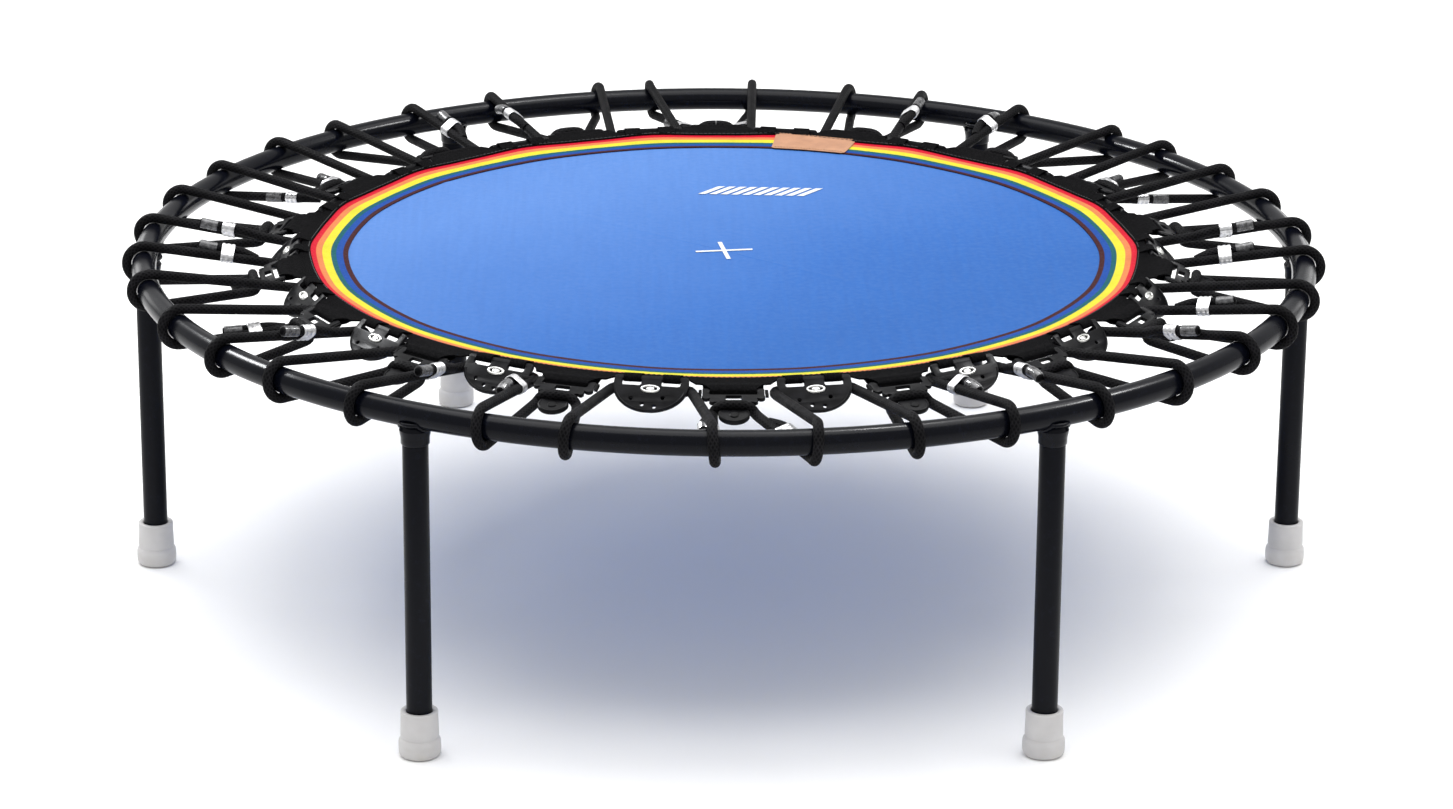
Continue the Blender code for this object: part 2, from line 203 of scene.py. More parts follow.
def lathe_mesh(profile, sides=64):
    """Turns (radius, height) points round Z. A profile that starts and ends on the axis is closed there."""
    points, faces, uvs = [], [], []
    rings = []
    for radius, height in profile:
        start = len(points)
        if radius < 1e-9:
            points.append((0, 0, height))
            rings.append([start] * sides)
            continue
        for i in range(sides):
            turn = math.tau * i / sides
            points.append(polar(radius, turn, height))
        rings.append([start + i for i in range(sides)])
    travelled = 0.0
    for k in range(len(rings) - 1):
        step = math.dist(profile[k], profile[k + 1])
        for i in range(sides):
            j = (i + 1) % sides
            corners = [
                (rings[k][i], (i / sides, travelled)),
                (rings[k][j], ((i + 1) / sides, travelled)),
                (rings[k + 1][j], ((i + 1) / sides, travelled + step)),
                (rings[k + 1][i], (i / sides, travelled + step)),
            ]
            kept = [c for n, c in enumerate(corners) if c[0] not in [d[0] for d in corners[:n]]]
            if len(kept) > 2:
                faces.append([c[0] for c in kept])
                uvs += [c[1] for c in kept]
        travelled += step
    return outward(mesh_from(points, faces, uvs))


def outward(mesh):
    """The same mesh with its faces pointing out."""
    build = bmesh.new()
    build.from_mesh(mesh)
    bmesh.ops.remove_doubles(build, verts=build.verts, dist=1e-7)
    bmesh.ops.recalc_face_normals(build, faces=build.faces)
    build.to_mesh(mesh)
    build.free()
    return mesh


def plate_mesh(loops, thickness, edge=0.0007):
    """A flat plate with rounded edges from closed outlines: the first is its edge, the others are holes."""
    curve = bpy.data.curves.new("outline", "CURVE")
    curve.dimensions = "2D"
    curve.fill_mode = "BOTH"
    curve.extrude = thickness / 2 - edge
    curve.bevel_depth = edge
    curve.bevel_resolution = 2
    curve.offset = -edge
    for points in loops:
        spline = curve.splines.new("POLY")
        spline.points.add(len(points) - 1)
        for place, (x, y) in zip(spline.points, points):
            place.co = (x, y, 0, 1)
        spline.use_cyclic_u = True
    obj = bpy.data.objects.new("temporary", curve)
    bpy.context.scene.collection.objects.link(obj)
    graph = bpy.context.evaluated_depsgraph_get()
    mesh = bpy.data.meshes.new_from_object(obj.evaluated_get(graph))
    bpy.data.objects.remove(obj, do_unlink=True)
    return outward(mesh)


def arc(centre, radii, start, end, count):
    """Points on an ellipse from one angle to another, in degrees, both ends included."""
    points = []
    for i in range(count + 1):
        turn = math.radians(start + (end - start) * i / count)
        points.append((centre[0] + radii[0] * math.cos(turn), centre[1] + radii[1] * math.sin(turn)))
    return points


def rounded_rectangle(centre, width, depth, corner, steps=4):
    x, y = centre
    points = []
    for k, (sx, sy) in enumerate(((1, 1), (-1, 1), (-1, -1), (1, -1))):
        place = (x + sx * (width / 2 - corner), y + sy * (depth / 2 - corner))
        points += arc(place, (corner, corner), 90 * k, 90 * k + 90, steps)
    return points


def smooth_path(points, rounds=3):
    """Cuts a path's corners, keeping its ends."""
    points = [Vector(p) for p in points]
    for _ in range(rounds):
        cut = [points[0]]
        for a, b in zip(points, points[1:]):
            cut += [a * 0.75 + b * 0.25, a * 0.25 + b * 0.75]
        cut.append(points[-1])
        points = cut
    return points


def even_path(points, step):
    """The same path with points about this far apart."""
    points = [Vector(p) for p in points]
    travelled = np.cumsum([0.0] + [(b - a).length for a, b in zip(points, points[1:])])
    count = max(2, int(round(travelled[-1] / step)) + 1)
    wanted = np.linspace(0, travelled[-1], count)
    axes = [np.interp(wanted, travelled, [p[k] for p in points]) for k in range(3)]
    return [Vector(p) for p in zip(*axes)]


# ---------------------------------------------------------------- places


def ring_point(angle, radius):
    """A point at this angle and radius in the ring's centre plane."""
    return Vector(polar(radius, angle, RING_Z))


def plate_matrix(angle, radius, tilt, rise):
    """A plate's own frame: x along the ring, clockwise from above, y outwards and tilted down, z up."""
    return (
        Matrix.Translation((0, 0, RING_Z))
        @ Matrix.Rotation(angle - math.pi / 2, 4, "Z")
        @ Matrix.Translation((0, radius, rise))
        @ Matrix.Rotation(-tilt, 4, "X")
    )


def a_matrix(number):
    return plate_matrix(math.tau * number / PAIRS, A_R, A_TILT, A_RISE)


def b_matrix(number):
    return plate_matrix(math.tau * (number + 0.5) / PAIRS, B_R, B_TILT, B_RISE)


def pull(angle):
    """How strongly the half-round plates pull at this angle: 1 at a plate and 0 between two."""
    return (0.5 + 0.5 * math.cos(PAIRS * angle)) ** 1.6


def rim_radius(angle):
    return MAT_R - 0.0012 + 0.0022 * pull(angle)


def rim_share(radius):
    return max(0.0, (radius - FLAT_R) / (MAT_R - FLAT_R))


def rim_height(radius, angle):
    """Height of the cloth's middle layer above the ring's centre plane."""
    rise = RIM_RISE + 0.0012 * (pull(angle) - 0.5)
    share = rim_share(radius)
    if share <= 1:
        return rise * share**2.2
    return rise + (radius - MAT_R) * 0.05


def wrap_angle(number):
    return math.radians(5 + 10 * number + WRAP_DRIFT_DEG[number])


# ---------------------------------------------------------------- materials


class Finish:
    """One material and short calls that add its nodes."""

    def __init__(self, name, **settings):
        self.material = bpy.data.materials.new(name)
        self.material.use_nodes = True
        self.tree = self.material.node_tree
        self.shader = self.tree.nodes["Principled BSDF"]
        for socket, value in settings.items():
            self.shader.inputs[socket.replace("_", " ")].default_value = value

    def add(self, kind, inputs=None, **attributes):
        node = self.tree.nodes.new(kind)
        for key, value in attributes.items():
            setattr(node, key, value)
        for key, value in (inputs or {}).items():
            if hasattr(value, "is_output"):
                self.tree.links.new(value, node.inputs[key])
            else:
                node.inputs[key].default_value = value
        return node

    def place(self, scale=(1, 1, 1), output="Object", turn=0.0):
        coords = self.add("ShaderNodeTexCoord")
        mapping = self.add(
            "ShaderNodeMapping",
            {"Vector": coords.outputs[output], "Scale": scale, "Rotation": (0, 0, turn)},
        )
        return mapping.outputs["Vector"]

    def noise(self, scale, detail=4.0, vector=None, roughness=0.5):
        inputs = {"Vector": vector or self.place(), "Scale": scale, "Detail": detail, "Roughness": roughness}
        return self.add("ShaderNodeTexNoise", inputs).outputs["Fac"]

    def bands(self, period, vector, direction="X"):
        """Even ridges this far apart, from 0 to 1."""
        node = self.add(
            "ShaderNodeTexWave",
            {"Vector": vector, "Scale": math.pi / 10 / period, "Distortion": 0.0},
            wave_type="BANDS",
            bands_direction=direction,
            wave_profile="SIN",
        )
        return node.outputs["Fac"]

    def math(self, operation, a, b=0.0):
        return self.add("ShaderNodeMath", {0: a, 1: b}, operation=operation).outputs[0]

    def spread(self, value, low, high, new_low, new_high):
        node = self.add(
            "ShaderNodeMapRange",
            {"Value": value, "From Min": low, "From Max": high, "To Min": new_low, "To Max": new_high},
        )
        return node.outputs["Result"]

    def ramp(self, value, stops, interpolation="LINEAR"):
        node = self.add("ShaderNodeValToRGB", {"Fac": value})
        node.color_ramp.interpolation = interpolation
        elements = node.color_ramp.elements
        while len(elements) < len(stops):
            elements.new(0.5)
        for element, (position, colour) in zip(elements, stops):
            element.position = position
            element.color = (*colour, 1.0)
        return node.outputs["Color"]

    def mix(self, factor, a, b, mode="MIX"):
        node = self.add("ShaderNodeMix", {"Factor": factor}, data_type="RGBA", blend_type=mode)
        for socket, value in (("A_Color", a), ("B_Color", b)):
            target = next(s for s in node.inputs if s.identifier == socket)
            if hasattr(value, "is_output"):
                self.tree.links.new(value, target)
            else:
                target.default_value = (*value, 1.0)
        return next(s for s in node.outputs if s.identifier == "Result_Color")

    def weave(self):
        """The mat's plain weave: two crossing sets of threads, 2.1 mm apart."""
        across = self.place(turn=THREAD_TURN)
        return self.math("MAXIMUM", self.bands(THREAD_GAP, across, "X"), self.bands(THREAD_GAP, across, "Y"))

    def colour(self, output):
        self.tree.links.new(output, self.shader.inputs["Base Color"])

    def roughness(self, output):
        self.tree.links.new(output, self.shader.inputs["Roughness"])

    def rough(self, scale, low, high, detail=4.0):
        """Roughness that drifts from low to high in patches."""
        self.roughness(self.spread(self.noise(scale, detail), 0.3, 0.7, low, high))

    def bump(self, height, strength, distance):
        node = self.add("ShaderNodeBump", {"Height": height, "Strength": strength, "Distance": distance})
        self.tree.links.new(node.outputs["Normal"], self.shader.inputs["Normal"])


def gloss_paint(name, low, high, base=(0.0016, 0.0020, 0.0042)):
    """Black enamel with faint orange peel, dust and rubbed patches."""
    made = Finish(name, Specular_IOR_Level=0.11)
    rubbed = made.noise(9.0, 5.0)
    light = tuple(3.2 * c for c in base)
    made.colour(made.ramp(made.noise(140.0, 6.0, roughness=0.7), [(0.55, base), (0.78, light)]))
    made.roughness(made.spread(rubbed, 0.3, 0.7, low, high))
    made.bump(made.noise(420.0, 2.0), 0.10, 0.0004)
    return made.material


def plated_steel():
    made = Finish("plated_steel", Metallic=1.0)
    made.colour(made.ramp(made.noise(260.0), [(0.3, (0.42, 0.42, 0.40)), (0.7, (0.66, 0.66, 0.64))]))
    made.rough(90.0, 0.25, 0.5)
    made.bump(made.noise(900.0), 0.2, 0.0002)
    return made.material


def ferrule_metal():
    """Pressed aluminium, bright, with small scratches and dull patches."""
    made = Finish("ferrule_metal", Metallic=0.85)
    made.colour(made.ramp(made.noise(240.0, 5.0), [(0.3, (0.46, 0.46, 0.47)), (0.7, (0.72, 0.72, 0.73))]))
    made.rough(180.0, 0.22, 0.46, 6.0)
    made.bump(made.noise(700.0, 3.0), 0.25, 0.0003)
    return made.material


def foot_rubber():
    """Off-white moulded rubber, grey with dust near the floor."""
    made = Finish("foot_rubber", Subsurface_Weight=0.0)
    height = made.add("ShaderNodeSeparateXYZ", {"Vector": made.place()}).outputs["Z"]
    near = made.spread(height, 0.001, 0.022, 1.0, 0.12)
    patches = made.ramp(made.noise(70.0, 6.0, roughness=0.65), [(0.42, (0, 0, 0)), (0.75, (1, 1, 1))])
    dirt = made.math("MULTIPLY", near, patches)
    clean = made.ramp(made.noise(30.0, 3.0), [(0.3, (0.48, 0.47, 0.47)), (0.7, (0.57, 0.56, 0.56))])
    made.colour(made.mix(dirt, clean, (0.50, 0.48, 0.45)))
    made.rough(55.0, 0.42, 0.62)
    made.bump(made.noise(650.0, 4.0), 0.22, 0.0004)
    return made.material


def mat_cloth():
    """Fine plain weave with slightly lighter and darker threads, deeper blue towards one side and lighter
    towards the other as painted light, in place of a lamp's sheen.
    """
    made = Finish("mat_cloth", Specular_IOR_Level=0.12)
    weave = made.weave()
    streaks = made.noise(3.0, 4.0, made.place((60, 3, 1), turn=THREAD_TURN))
    parts = made.add("ShaderNodeSeparateXYZ", {"Vector": made.place(turn=math.radians(45))}).outputs
    # Painted light: the base colour slopes from light at the back left to deeper blue at the front right,
    # standing in for a lamp's sheen on the cloth.
    painted_sheen_slope = made.math("ADD", parts["X"], made.math("MULTIPLY", made.noise(3.5, 2.0), 0.16))
    share = made.spread(painted_sheen_slope, -0.22, 0.36, 0.0, 1.0)
    tones = [(0.0, (0.067, 0.177, 0.470)), (0.70, (0.015, 0.104, 0.368)), (1.0, (0.007, 0.088, 0.331))]
    base = made.ramp(share, tones)
    threads = made.ramp(streaks, [(0.35, (0.90, 0.92, 0.94)), (0.65, (1.0, 1.0, 1.0))])
    made.colour(made.mix(1.0, base, threads, "MULTIPLY"))
    made.rough(160.0, 0.42, 0.58)
    made.bump(weave, 0.16, 0.0005)
    return made.material


def rainbow():
    """Ribbon stripes across the width, with fine ribs across the stripes."""
    made = Finish("rainbow_weave", Specular_IOR_Level=0.08)
    uv = made.place(output="UV")
    across = made.add("ShaderNodeSeparateXYZ", {"Vector": uv}).outputs["Y"]
    stripes = made.ramp(
        across,
        [
            (0.0, (0.035, 0.001, 0.003)),
            (0.125, (0.001, 0.050, 0.270)),
            (0.290, (0.000, 0.080, 0.098)),
            (0.420, (0.570, 0.530, 0.028)),
            (0.630, (0.560, 0.175, 0.060)),
            (0.780, (0.500, 0.003, 0.020)),
        ],
        "CONSTANT",
    )
    faded = made.ramp(made.noise(40.0, 5.0), [(0.3, (0.88, 0.88, 0.88)), (0.7, (1, 1, 1))])
    made.colour(made.mix(1.0, stripes, faded, "MULTIPLY"))
    made.rough(300.0, 0.5, 0.7)
    ribs = made.bands(0.0016, uv, "X")
    made.bump(ribs, 0.35, 0.0006)
    return made.material


def webbing():
    """Black polyester webbing: a twill of two slanted ridges, with lint."""
    made = Finish("black_webbing_weave", Specular_IOR_Level=0.01)
    uv = made.place(output="UV")
    slant, other = (made.place(output="UV", turn=math.radians(turn)) for turn in (38, -38))
    weave = made.math("MAXIMUM", made.bands(THREAD_GAP, slant, "X"), made.bands(THREAD_GAP, other, "X"))
    lint = made.noise(900.0, 2.0)
    made.colour(made.ramp(lint, [(0.50, (0.0030, 0.0030, 0.0034)), (0.80, (0.016, 0.0155, 0.017))]))
    made.roughness(made.spread(made.noise(240.0, vector=uv), 0.3, 0.7, 0.62, 0.85))
    made.bump(weave, 0.55, 0.0007)
    return made.material


def rope_cover():
    """Braided cover: two crossing sets of slanted strands round the rope, with painted shade darkening the
    grooves between them.
    """
    made = Finish("rope_braid", Specular_IOR_Level=0.03)
    coords = made.add("ShaderNodeTexCoord")
    parts = made.add("ShaderNodeSeparateXYZ", {"Vector": coords.outputs["UV"]})
    round_share = made.math("MULTIPLY", parts.outputs["X"], 8.0)
    along = made.math("MULTIPLY", parts.outputs["Y"], 190.0)
    ridges = []
    for operation in ("ADD", "SUBTRACT"):
        phase = made.math(operation, round_share, along)
        ridges.append(made.math("PINGPONG", phase, 0.5))
    braid = made.math("MULTIPLY", made.math("MAXIMUM", ridges[0], ridges[1]), 2.0)
    # Painted shade: the braid's grooves are coloured darker than the strands' tops.
    groove_shaded_braid = made.ramp(braid, [(0.35, (0.0025, 0.0025, 0.0030)), (0.95, (0.012, 0.0118, 0.013))])
    patches = made.noise(60.0, 6.0, roughness=0.7)
    dust = made.ramp(patches, [(0.45, (0.75, 0.75, 0.75)), (0.8, (1.9, 1.85, 1.9))])
    made.colour(made.mix(1.0, groove_shaded_braid, dust, "MULTIPLY"))
    made.rough(120.0, 0.45, 0.68)
    made.bump(braid, 0.6, 0.0006)
    return made.material


def plate_plastic():
    """Moulded black nylon, satin, with fine spark-eroded grain and rubbed edges."""
    made = Finish("plate_plastic", Specular_IOR_Level=0.06)
    tones = [(0.4, (0.0026, 0.0026, 0.0032)), (0.8, (0.010, 0.010, 0.012))]
    made.colour(made.ramp(made.noise(80.0, 5.0), tones))
    made.rough(35.0, 0.26, 0.44, 4.0)
    made.bump(made.noise(1100.0, 2.0), 0.18, 0.0003)
    return made.material


def tag_leather():
    """Tan leather with pores and darker rubbed patches."""
    made = Finish("tag_leather_grain", Sheen_Weight=0.05)
    cells = made.add("ShaderNodeTexVoronoi", {"Vector": made.place(), "Scale": 900.0}).outputs["Distance"]
    patches = made.noise(60.0, 6.0, roughness=0.65)
    made.colour(made.ramp(patches, [(0.30, (0.30, 0.128, 0.056)), (0.70, (0.425, 0.202, 0.098))]))
    made.roughness(made.spread(patches, 0.3, 0.7, 0.48, 0.66))
    made.bump(made.math("ADD", cells, made.math("MULTIPLY", patches, 0.6)), 0.5, 0.0006)
    return made.material


def end_shrink():
    """Glossy shrink tube over the rope's cut end, grey where it is stretched thin."""
    made = Finish("end_shrink", Specular_IOR_Level=0.75)
    tones = [(0.38, (0.020, 0.020, 0.022)), (0.66, (0.110, 0.110, 0.115))]
    made.colour(made.ramp(made.noise(260.0, 5.0), tones))
    made.rough(200.0, 0.16, 0.34)
    made.bump(made.noise(500.0, 3.0), 0.4, 0.0005)
    return made.material


def stitch_thread(name, colour):
    made = Finish(name)
    light = tuple(min(1.0, 1.5 * c + 0.01) for c in colour)
    made.colour(made.ramp(made.noise(1500.0), [(0.35, colour), (0.7, light)]))
    made.rough(600.0, 0.55, 0.75)
    made.bump(made.noise(2500.0), 0.3, 0.0002)
    return made.material


def white_print():
    """Screen print that lets the cloth's weave show through."""
    made = Finish("white_print")
    worn = made.noise(190.0, 6.0, roughness=0.7)
    made.colour(made.ramp(worn, [(0.28, (0.42, 0.48, 0.60)), (0.42, (0.60, 0.61, 0.63))]))
    made.rough(120.0, 0.5, 0.7)
    made.bump(made.weave(), 0.2, 0.0004)
    return made.material


def floor_paint():
    made = Finish("pale_floor")
    made.colour(made.ramp(made.noise(1.2, 3.0), [(0.3, (0.93, 0.93, 0.93)), (0.7, (0.95, 0.95, 0.95))]))
    made.rough(8.0, 0.75, 0.9)
    return made.material


# ---------------------------------------------------------------- ring and legs


def ring_tube(paint):
    rows = []
    steps, sides = 288, 40
    for j in range(steps):
        turn = math.tau * j / steps
        row = []
        for i in range(sides):
            around = math.tau * i / sides
            radius = RING_R + TUBE_R * math.cos(around)
            row.append(polar(radius, turn, RING_Z + TUBE_R * math.sin(around)))
        rows.append(row)
    mesh = outward(grid_mesh(rows, closed_v=True, size=(math.tau * TUBE_R, math.tau * RING_R)))
    obj = new_object("ring_tube", mesh, paint)
    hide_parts("ring_frame")
    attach(obj, "frame")


def socket_mesh():
    """A short socket with a flared top and an open threaded bore. Its top ends inside the ring's tube."""
    low = SOCKET_LOW - RING_Z
    top = -0.006
    bore_top = -0.008
    profile = [(0, top), (0.0100, top), (0.0152, -0.0140), (0.0146, -0.0180), (0.0140, -0.0205)]
    profile += [(SOCKET_R, -0.0225), (SOCKET_R, low + 0.0012), (SOCKET_R - 0.0008, low)]
    profile += [(SOCKET_BORE_R + 0.0008, low), (SOCKET_BORE_R, low + 0.0008)]
    profile += [(SOCKET_BORE_R, bore_top), (0, bore_top)]
    return lathe_mesh(profile, 48)


def weld_mesh():
    """The rippled bead where the socket meets the tube's underside."""
    path = []
    steps = 96
    bead_r = 0.0142
    for i in range(steps):
        turn = math.tau * i / steps
        x, y = bead_r * math.cos(turn), bead_r * math.sin(turn)
        inside = max(0.0, TUBE_R**2 - x**2)
        drop = math.sqrt(inside) if abs(x) < TUBE_R * 0.86 else TUBE_R * 0.51
        path.append((x, y, -drop))
    ripple = 30

    def radius(share):
        return 0.0021 + 0.00025 * math.sin(math.tau * ripple * share)

    return outward(tube_mesh(path, radius, 12, closed=True))


def sockets(paint):
    socket, weld = socket_mesh(), weld_mesh()
    for k in range(LEGS):
        seat = Matrix.Translation((0, 0, RING_Z)) @ Matrix.Rotation(math.tau * k / LEGS, 4, "Z")
        seat = seat @ Matrix.Translation((RING_R, 0, 0))
        for name, mesh in (("leg_socket", socket), ("weld_bead", weld)):
            obj = new_object(f"{name}_{k + 1}", joined([(mesh, seat)]), paint)
            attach(obj, "frame")


def stud_mesh(shoulder):
    """A threaded stud whose ridge climbs once round for each pitch."""
    sides, per_turn = 40, 6
    turns = STUD_LENGTH / THREAD_PITCH
    count = int(turns * per_turn)
    rows = []
    for j in range(count + 1):
        height = STUD_LENGTH * j / count
        fade = min(1.0, (STUD_LENGTH - height) / 0.0015)
        row = []
        for i in range(sides):
            turn = math.tau * i / sides
            phase = (height / THREAD_PITCH - i / sides) % 1.0
            depth = 0.0011 * abs(2 * phase - 1)
            radius = STUD_R - depth - 0.0008 * (1 - fade)
            row.append(polar(radius, turn, shoulder + height))
        rows.append(row)
    return outward(grid_mesh(rows, cap=True))


def leg_mesh():
    shoulder = LEG_HIGH - STUD_LENGTH
    wall = 0.0015
    edge = 0.0009
    profile = [
        (0, shoulder),
        (TUBE_R - edge, shoulder),
        (TUBE_R - edge * 0.3, shoulder - edge * 0.3),
        (TUBE_R, shoulder - edge),
        (TUBE_R, LEG_LOW),
        (TUBE_R - wall, LEG_LOW),
        (TUBE_R - wall, shoulder - 0.012),
        (0, shoulder - 0.012),
    ]
    return lathe_mesh(profile, 64)


def foot_mesh():
    """A moulded cup: lip, tapered sleeve, groove, base with two mould lines and a rounded bottom."""
    bore = TUBE_R + 0.0005
    floor = 0.010
    profile = [(0, 0.0009), (0.0100, 0.0009), (0.0112, 0.0), (0.0172, 0.0), (0.0184, 0.0004)]
    profile += [(0.0194, 0.0014), (0.0201, 0.0030), (0.0205, 0.0055), (0.0206, 0.0090), (0.0205, 0.0095)]
    profile += [(0.0206, 0.0100), (0.0205, 0.0138), (0.0202, 0.0158), (0.0195, 0.0172), (0.0186, 0.0180)]
    profile += [(0.0181, 0.0186), (0.0180, 0.0194), (0.0183, 0.0203), (0.0186, 0.0213), (0.0185, 0.0260)]
    lip = [(0.0181, 0.0050), (0.0182, 0.0044), (0.0182, 0.0012), (0.0179, 0.0004), (0.0174, 0)]
    lip += [(bore + 0.0012, 0), (bore + 0.0003, 0.0005), (bore, 0.0014)]
    profile += [(radius, FOOT_H - drop) for radius, drop in lip]
    profile += [(bore, floor), (0, floor)]
    return lathe_mesh(profile, 72)


def legs(paint, steel, rubber):
    shoulder = LEG_HIGH - STUD_LENGTH
    leg, stud, foot = leg_mesh(), stud_mesh(shoulder), foot_mesh()
    for k in range(LEGS):
        turn = math.tau * k / LEGS
        seat = Matrix.Translation(polar(RING_R, turn, 0))
        tube = new_object(f"leg_{k + 1}_tube", joined([(leg, seat)]), paint)
        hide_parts(f"leg_tube_{k + 1}")
        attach(tube, f"leg_{k + 1}")
        thread = new_object(f"leg_{k + 1}_stud", joined([(stud, seat)]), steel, 25)
        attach(thread, f"leg_{k + 1}")
        cup = new_object(f"leg_{k + 1}_foot", joined([(foot, seat)]), rubber)
        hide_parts(f"rubber_foot_{k + 1}")
        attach(cup, f"foot_{k + 1}")


# ---------------------------------------------------------------- mat


def ripple(x, y):
    """Slow unevenness of stretched cloth, in metres."""
    return 0.0005 * noise.noise(Vector((x * 5, y * 5, 3.1)))


def cloth_height(radius, angle):
    x, y = radius * math.cos(angle), radius * math.sin(angle)
    fade = 1 - rim_share(radius)
    return RING_Z + rim_height(radius, angle) + ripple(x, y) * max(0.0, min(1.0, fade))


def polar_sheet(radii_of, steps, thickness, lift=0.0):
    """A closed ring-shaped sheet. radii_of(angle) gives its radii from the inside to the outside."""
    top, under = [], []
    for j in range(steps):
        angle = math.tau * j / steps
        radii = radii_of(angle)
        line = [Vector(polar(r, angle, cloth_height(r, angle) + lift)) for r in radii]
        drop = Vector((0, 0, thickness / 2))
        top.append([p + drop for p in line])
        under.append([p - drop for p in reversed(line)])
    width = len(top[0])

    def uv_at(i, j):
        place = i % (2 * width)
        return math.tau * MAT_R * j / steps, min(place, 2 * width - 1 - place) / (width - 1)

    return outward(grid_mesh([a + b for a, b in zip(top, under)], closed_v=True, uv_at=uv_at))


def mat(cloth):
    """The blue cloth: a disc whose rim rises under the ribbon."""
    steps, hub, last_flat, last = MAT_STEPS, 0.02, 22, 30
    points = [(0, 0, RING_Z + ripple(0, 0) + sign * CLOTH / 2) for sign in (1, -1)]
    rings, faces = {}, []
    for centre, sign in enumerate((1, -1)):
        for n in range(last + 1):
            rings[sign, n] = len(points)
            for j in range(steps):
                angle = math.tau * j / steps
                edge = rim_radius(angle) - 0.001
                radius = hub + (FLAT_R - hub) * n / last_flat
                if n > last_flat:
                    radius = FLAT_R + (edge - FLAT_R) * (n - last_flat) / (last - last_flat)
                height = cloth_height(radius, angle) + sign * CLOTH / 2
                if j in FOLD_STEPS and n <= last_flat:
                    height += FOLD_RISE
                points.append(polar(radius, angle, height))
        for j in range(steps):
            k = (j + 1) % steps
            faces.append((centre, rings[sign, 0] + j, rings[sign, 0] + k))
            for n in range(last):
                a, b = rings[sign, n], rings[sign, n + 1]
                faces.append((a + j, b + j, b + k, a + k))
    for j in range(steps):
        k = (j + 1) % steps
        faces.append((rings[1, last] + j, rings[-1, last] + j, rings[-1, last] + k, rings[1, last] + k))
    uvs = flat_uvs(points, faces)
    obj = new_object("mat_cloth_disc", outward(mesh_from(points, faces, uvs)), cloth, 60)
    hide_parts("jump_mat")
    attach(obj, "mat")
    return obj


def ribbon(finish):
    def radii(angle):
        inner = FLAT_R + 0.0008 * (pull(angle) - 0.5)
        outer = rim_radius(angle)
        return [inner + (outer - inner) * k / 12 for k in range(13)]

    obj = new_object("rainbow_ribbon_ring", polar_sheet(radii, 360, 0.0009, 0.0013), finish, 60)
    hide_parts("rainbow_ribbon")
    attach(obj, "mat")
    return obj


def band_outer(angle):
    """The border's outer edge: straight at the half-round plates' edges and drawn out at the anchors."""
    period = math.tau / PAIRS
    apart = abs((angle + period / 2) % period - period / 2)
    share = max(0.0, min(1.0, (math.degrees(apart) - 4.5) / 1.1))
    share = share * share * (3 - 2 * share)
    slack = 0.0035 * max(0.0, math.cos(math.pi * (math.degrees(apart) - 5.5) / 5))
    return NOTCH_R / math.cos(apart) * (1 - share) + (BAND_R + 0.0010 - slack) * share


def border_band():
    def radii(angle):
        inner = rim_radius(angle) - 0.0035
        outer = band_outer(angle)
        return [inner + (outer - inner) * k / 8 for k in range(9)]

    return polar_sheet(radii, 720, 0.0016, 0.0024)


A_LOOP_ROOTS = (
    [(-0.0078, -0.0080), (-0.0046, -0.0032), (-0.0016, 0.0016)],
    [(-0.0022, -0.0050), (-0.0070, -0.0098)],
)
B_LOOP_ROOTS = (
    [(-0.0190, -0.0032), (-0.0100, -0.0001), (-0.0035, 0.0030)],
    [(-0.0035, -0.0030), (-0.0100, -0.0022), (-0.0190, -0.0048)],
)
"""A strap's way from the border to the plate and back below it, as (y, z) of the plate's frame."""


def loop_mesh(width, tail_width, roots, thickness=CLOTH):
    """A strap sewn under the border, carried over a plate's bar, through its slot and back below."""
    clear = PLATE_T / 2 + 0.0003
    outer_side = BAR + 0.0004
    level, edge = clear + thickness / 2, outer_side + thickness / 2
    middle_line = [*roots[0], (0.0010, level), (outer_side - 0.0008, level), (edge, clear * 0.6)]
    middle_line += [(edge, -clear * 0.6), (outer_side - 0.0008, -level), (0.0010, -level), *roots[1]]
    path = even_path(smooth_path([(0, y, z) for y, z in middle_line], 2), LOOP_STEP)
    rows, columns = [], 12
    for i, point in enumerate(path):
        ahead = path[min(i + 1, len(path) - 1)] - path[max(i - 1, 0)]
        up = Vector((0, -ahead.z, ahead.y)).normalized() * thickness / 2
        share = max(0.0, min(1.0, (0.0030 - point.y) / 0.009))
        half = (width + (tail_width - width) * share) / 2
        across = [half * (2 * k / columns - 1) for k in range(columns + 1)]
        over = [Vector((x, point.y, point.z)) + up for x in across]
        below = [Vector((x, point.y, point.z)) - up for x in reversed(across)]
        rows.append(over + below)
    places = rows[0]
    strap = grid_mesh(rows, cap=True, uv_at=lambda i, j: (places[i % len(places)].x, LOOP_STEP * j))
    return outward(strap)


def border(finish, thread):
    obj = new_object("border_band", border_band(), finish, 50)
    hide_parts("mat_border")
    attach(obj, "mat")
    narrow = loop_mesh(0.0165, 0.0185, A_LOOP_ROOTS)
    wide = loop_mesh(0.0440, 0.0580, B_LOOP_ROOTS)
    pieces = [obj]
    for number in range(PAIRS):
        pair = [(narrow, a_matrix(number) @ Matrix.Translation((side * A_LOOP_X, 0, 0))) for side in (-1, 1)]
        for name, group in (("plate_loops", pair), ("anchor_loop", [(wide, b_matrix(number))])):
            loop = new_object(f"{name}_{number + 1:02d}", joined(group), finish, 50)
            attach(loop, "mat")
            pieces.append(loop)
    pieces.append(stitch_row("band_stitches", lambda angle: rim_radius(angle) - 0.0018, 520, 0.0033, thread))
    return pieces


def stitch_row(name, radius_of, count, lift, thread, start=0.0, end=math.tau):
    """Short raised stitches along a line round the mat."""
    meshes = []
    for k in range(count):
        points = []
        for part in (0.0, 0.2, 0.5, 0.8, 1.0):
            angle = start + (end - start) * (k + 0.12 + 0.72 * part) / count
            radius = radius_of(angle)
            bow = 0.00045 * math.sin(math.pi * part) - 0.0002
            height = cloth_height(radius, angle) + lift + bow
            points.append(polar(radius, angle, height))
        meshes.append((tube_mesh(points, 0.00035, 5), Matrix.Identity(4)))
    obj = new_object(name, outward(joined(meshes)), thread)
    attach(obj, "mat")
    return obj


